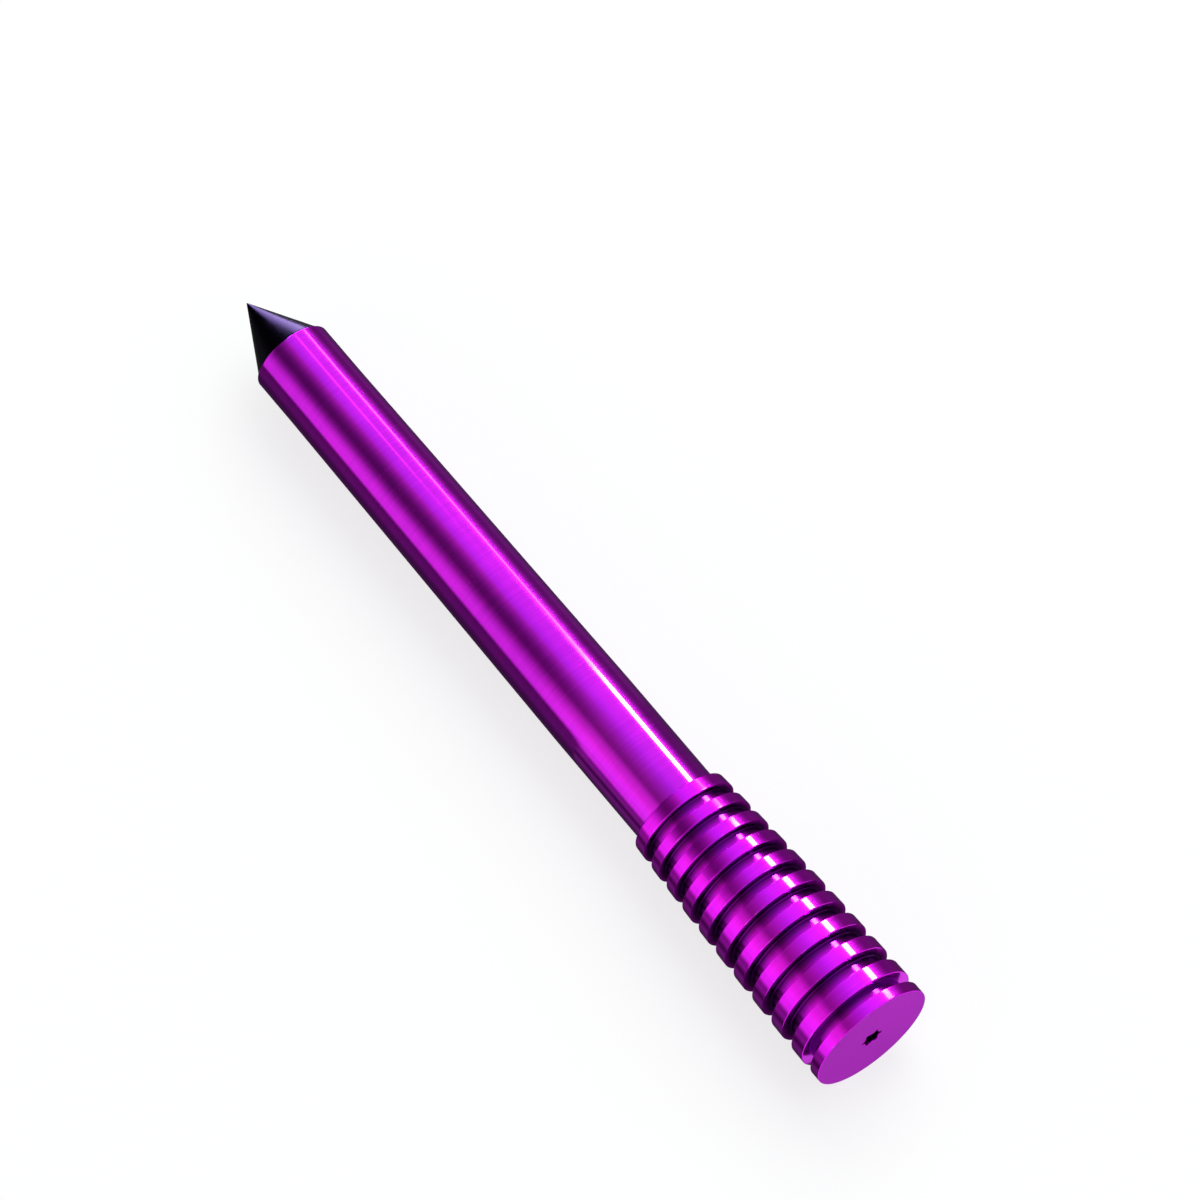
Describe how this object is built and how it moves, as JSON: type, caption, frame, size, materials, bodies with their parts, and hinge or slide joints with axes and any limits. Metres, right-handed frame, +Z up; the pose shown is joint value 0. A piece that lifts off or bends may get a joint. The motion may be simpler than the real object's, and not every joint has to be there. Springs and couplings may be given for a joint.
{
  "type": "balloon director",
  "caption": "Slim tubular balloon director with a ringed grip, closed by a pointed obturator that slides out to the rear to free the bore for a balloon.",
  "frame": {"origin": "centre of the bounding box's underside, on the surface that the rings of the grip lie on", "axes": "X is the instrument's axis, with the point of the cone at -X and the end face at +X; +Z is up with the instrument lying down"},
  "size_m": [0.136, 0.0176, 0.0175],
  "materials": {
    "violet_anodised": "polished violet anodising, satin on the end face",
    "dark_coated_steel": "polished blue-black hard coating",
    "satin_steel": "fine turned stainless steel",
    "bare_aluminium": "turned",
    "white_polymer": "smooth low-friction polymer",
    "black_rubber": "satin moulded seal"
  },
  "bodies": {
    "director": {"director_tube": "violet_anodised", "ringed_grip": "violet_anodised", "ring_nut": "bare_aluminium", "nut_washer": "white_polymer"},
    "obturator": {"cone_tip": "dark_coated_steel", "core_rod": "satin_steel", "tip_pin": "satin_steel", "guide_ring_front": "white_polymer", "guide_ring_rear": "white_polymer", "end_cap": "violet_anodised", "cap_seal_ring": "black_rubber"}
  },
  "joints": [
    {"name": "obturator_slide", "type": "slide", "parent": "director", "child": "obturator", "axis": [1, 0, 0], "range_m": [0, 0.134]}
  ]
}
